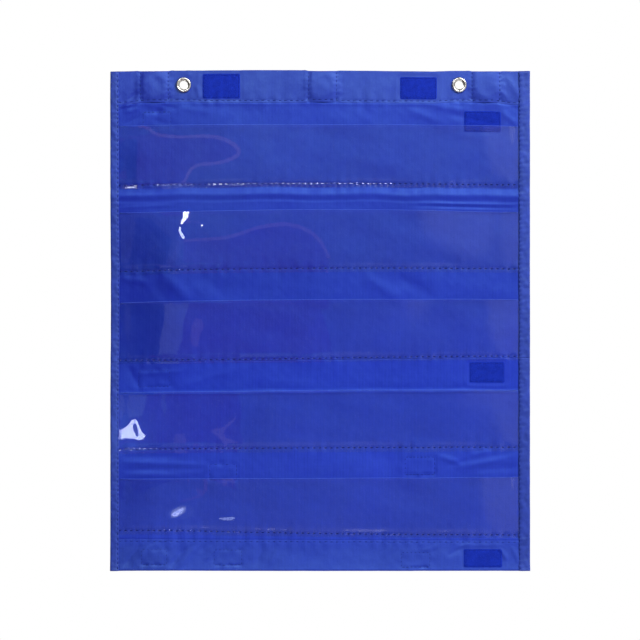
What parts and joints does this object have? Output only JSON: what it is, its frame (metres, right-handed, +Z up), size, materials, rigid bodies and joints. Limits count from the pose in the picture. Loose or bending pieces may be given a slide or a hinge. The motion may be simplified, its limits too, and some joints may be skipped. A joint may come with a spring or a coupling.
{
  "type": "hanging magnetic pocket chart",
  "caption": "Thin hanging cloth chart with clear vinyl pockets, top eyelets, magnets sewn in the hem and hook-and-loop patches; folds in three.",
  "frame": {"origin": "midway between the two eyelets, on the front face of the backing cloth", "axes": "+Z up the hanging chart, -Y out of its front with the pockets, +X to the right as the front is seen"},
  "size_m": [0.3559, 0.0082, 0.4233],
  "materials": {
    "backing_cloth": "matte",
    "hem_cloth": "matte",
    "binding_tape": "matte",
    "clear_vinyl": "gloss",
    "loop_tape": "matte",
    "hook_tape": "satin",
    "sewing_thread": "satin",
    "nickel": "polished",
    "magnet_ferrite": "matte"
  },
  "bodies": {
    "top_section": {"backing_cloth_top": "backing_cloth", "top_hem": "hem_cloth", "binding_left_top": "binding_tape", "binding_right_top": "binding_tape", "pocket_1": "clear_vinyl", "eyelet_left": "nickel", "eyelet_right": "nickel", "eyelet_washer_left": "nickel", "eyelet_washer_right": "nickel", "magnet_top_left": "magnet_ferrite", "magnet_top_centre": "magnet_ferrite", "magnet_top_right": "magnet_ferrite", "loop_patch_top_left": "loop_tape", "loop_patch_top_right": "loop_tape", "loop_patch_right_upper": "loop_tape", "hook_patch_left_upper": "hook_tape", "thread_top_hem": "sewing_thread", "thread_pocket_1": "sewing_thread", "thread_binding_left_top": "sewing_thread", "thread_binding_right_top": "sewing_thread"},
    "middle_section": {"backing_cloth_middle": "backing_cloth", "binding_left_middle": "binding_tape", "binding_right_middle": "binding_tape", "pocket_2": "clear_vinyl", "pocket_3": "clear_vinyl", "loop_patch_right_middle": "loop_tape", "hook_patch_left_middle": "hook_tape", "thread_pocket_2": "sewing_thread", "thread_pocket_3": "sewing_thread", "thread_binding_left_middle": "sewing_thread", "thread_binding_right_middle": "sewing_thread"},
    "bottom_section": {"backing_cloth_bottom": "backing_cloth", "bottom_hem": "hem_cloth", "binding_left_bottom": "binding_tape", "binding_right_bottom": "binding_tape", "pocket_4": "clear_vinyl", "pocket_5": "clear_vinyl", "magnet_pouch_lower_left": "backing_cloth", "magnet_pouch_lower_right": "backing_cloth", "magnet_lower_left": "magnet_ferrite", "magnet_lower_right": "magnet_ferrite", "loop_patch_right_bottom": "loop_tape", "hook_patch_left_bottom": "hook_tape", "hook_patch_bottom_left": "hook_tape", "hook_patch_bottom_right": "hook_tape", "thread_bottom_hem": "sewing_thread", "thread_pocket_4": "sewing_thread", "thread_pocket_5": "sewing_thread", "thread_binding_left_bottom": "sewing_thread", "thread_binding_right_bottom": "sewing_thread"}
  },
  "joints": [
    {"name": "upper_crease", "type": "hinge", "parent": "top_section", "child": "middle_section", "pos_m": [0, -0.002, -0.0967], "axis": [-1, 0, 0], "range_deg": [0, 165]},
    {"name": "lower_crease", "type": "hinge", "parent": "middle_section", "child": "bottom_section", "pos_m": [0, 0.00175, -0.2588], "axis": [1, 0, 0], "range_deg": [0, 170]}
  ]
}
